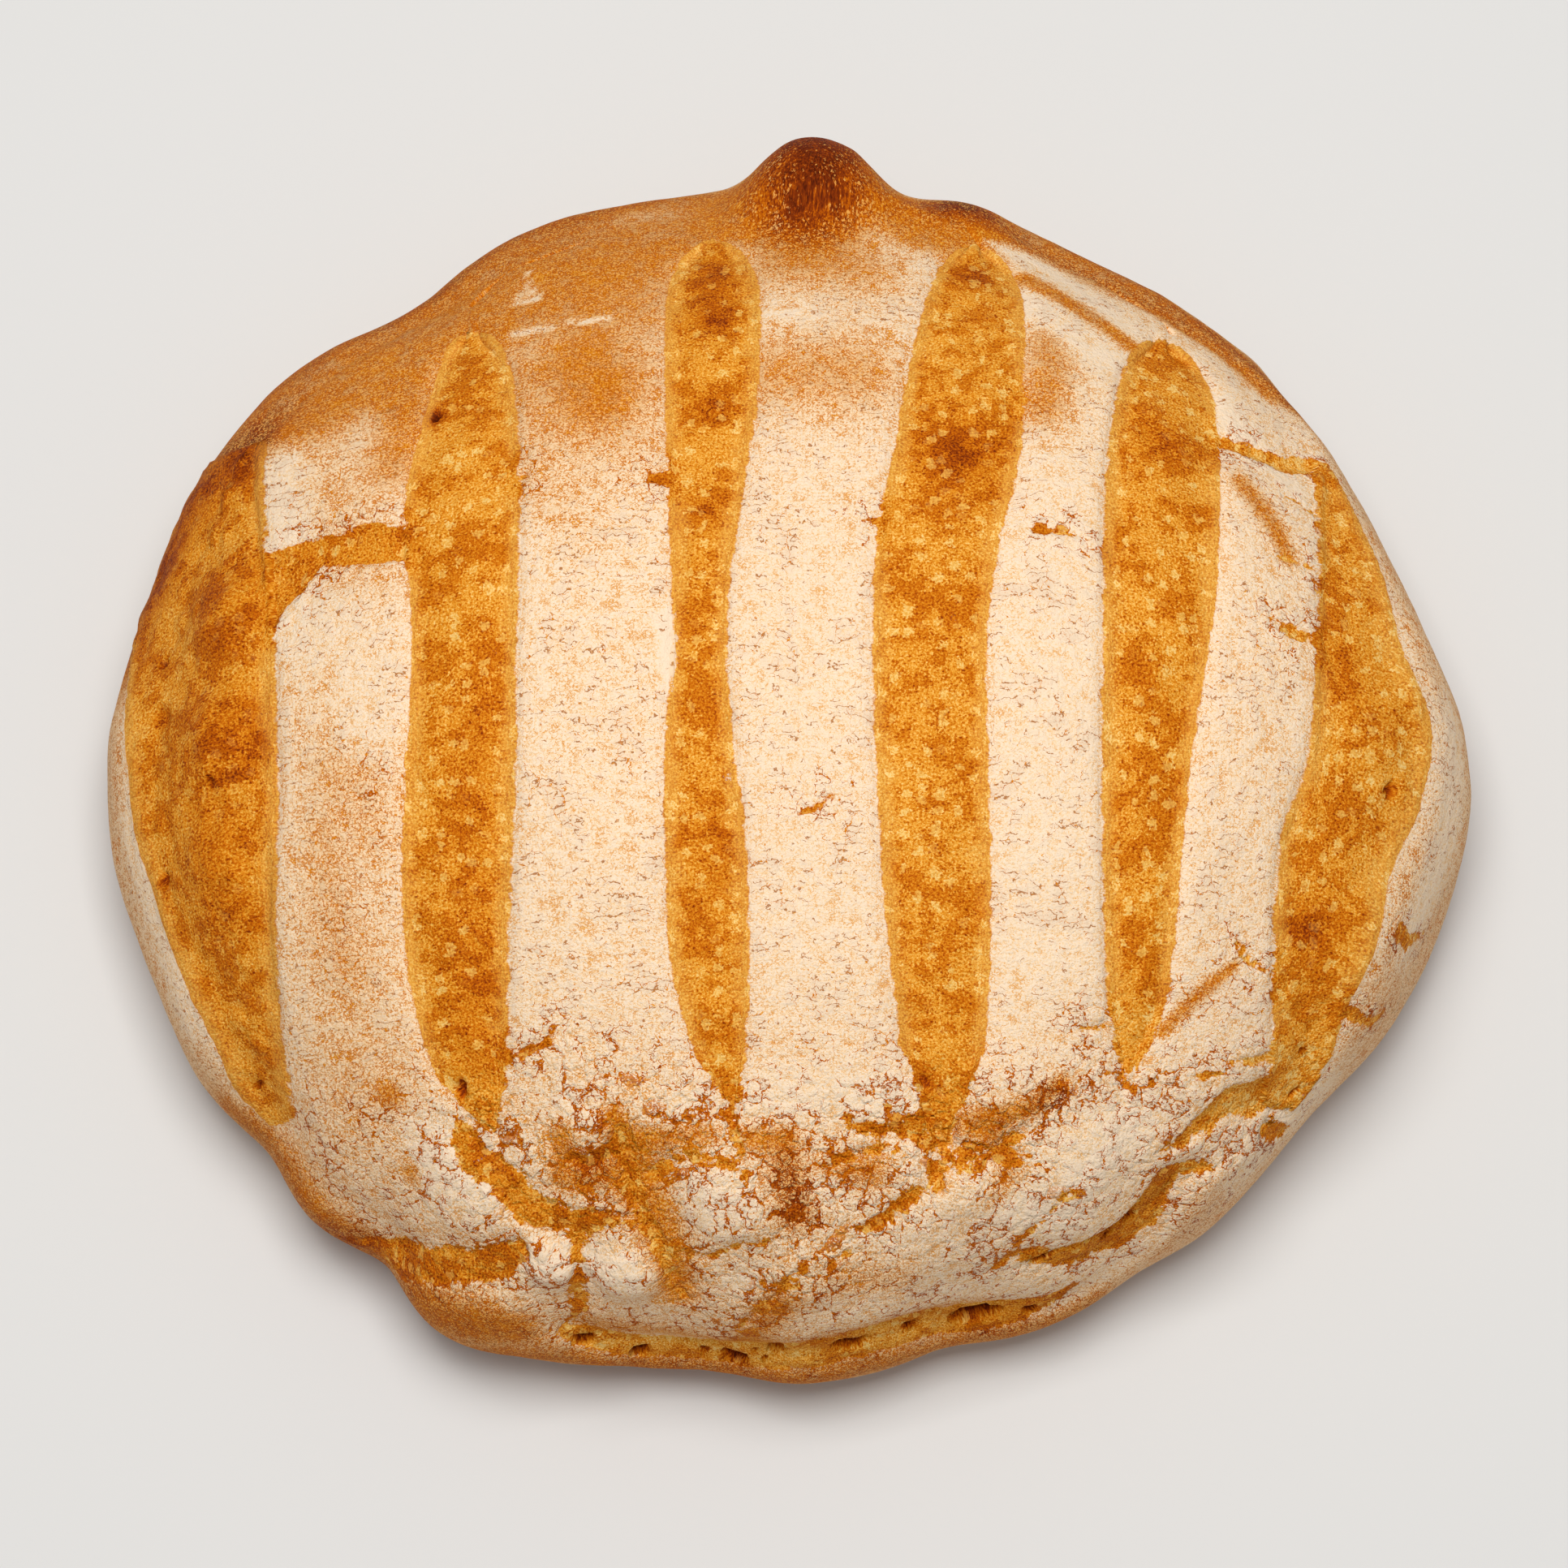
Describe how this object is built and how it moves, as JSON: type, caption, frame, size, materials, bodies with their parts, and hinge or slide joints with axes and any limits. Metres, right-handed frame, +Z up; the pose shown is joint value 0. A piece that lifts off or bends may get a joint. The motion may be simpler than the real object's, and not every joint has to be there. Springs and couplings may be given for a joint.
{
  "type": "spelt bread loaf",
  "caption": "Uncut free-form round loaf with a flour-dusted domed crust, torn open along parallel scores and around its foot, on a flat base.",
  "frame": {"origin": "under the middle of the loaf, on the surface that its base rests on", "axes": "+Z up out of the crown, +X along the longer side across the scores, +Y along the scores to the back"},
  "size_m": [0.2522, 0.2302, 0.0882],
  "materials": {
    "crust": "dry matt baked crust dusted with flour"
  },
  "bodies": {
    "root": {"loaf": "crust"}
  },
  "joints": []
}
